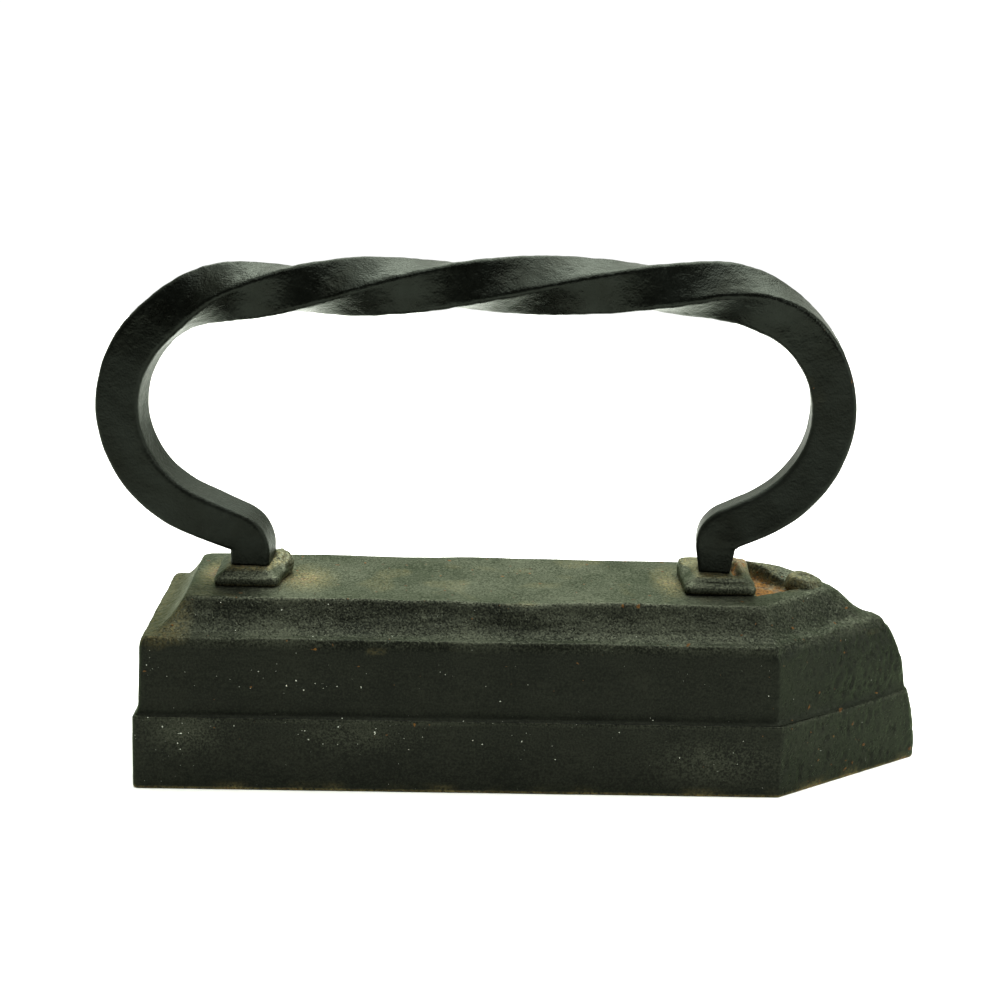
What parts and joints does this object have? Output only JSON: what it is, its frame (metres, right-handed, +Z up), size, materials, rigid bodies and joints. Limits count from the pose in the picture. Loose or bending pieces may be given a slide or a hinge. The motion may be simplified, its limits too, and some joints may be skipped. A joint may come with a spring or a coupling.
{
  "type": "sad iron",
  "caption": "Solid iron for pressing cloth: thick pointed body on a sole plate, with a raised loop handle forged from a twisted square bar.",
  "frame": {"origin": "middle of the sole's length, on the mid-plane and on the sole face that rests on the cloth", "axes": "+X to the pointed nose, +Y to the side away from the usual view, +Z up through the handle"},
  "size_m": [0.2112, 0.0578, 0.1291],
  "materials": {
    "sole_iron": "blackened cast iron, satin, with fine sand texture and small pale specks",
    "body_iron": "blackened cast iron, green-grey where light falls on it, with rust near the collars",
    "forged_iron": "black forge scale, semi-gloss, slightly hammered",
    "collar_iron": "blackened iron with brown and orange rust in the corners",
    "fixing_iron": "plain bare iron, hidden inside"
  },
  "bodies": {
    "root": {"sole_plate": "sole_iron", "upper_body": "body_iron", "handle_bar": "forged_iron", "rear_collar": "collar_iron", "front_collar": "collar_iron", "nose_stud": "body_iron", "rear_tenon_washer": "fixing_iron", "front_tenon_washer": "fixing_iron", "near_heel_dowel": "fixing_iron", "far_heel_dowel": "fixing_iron"}
  },
  "joints": []
}
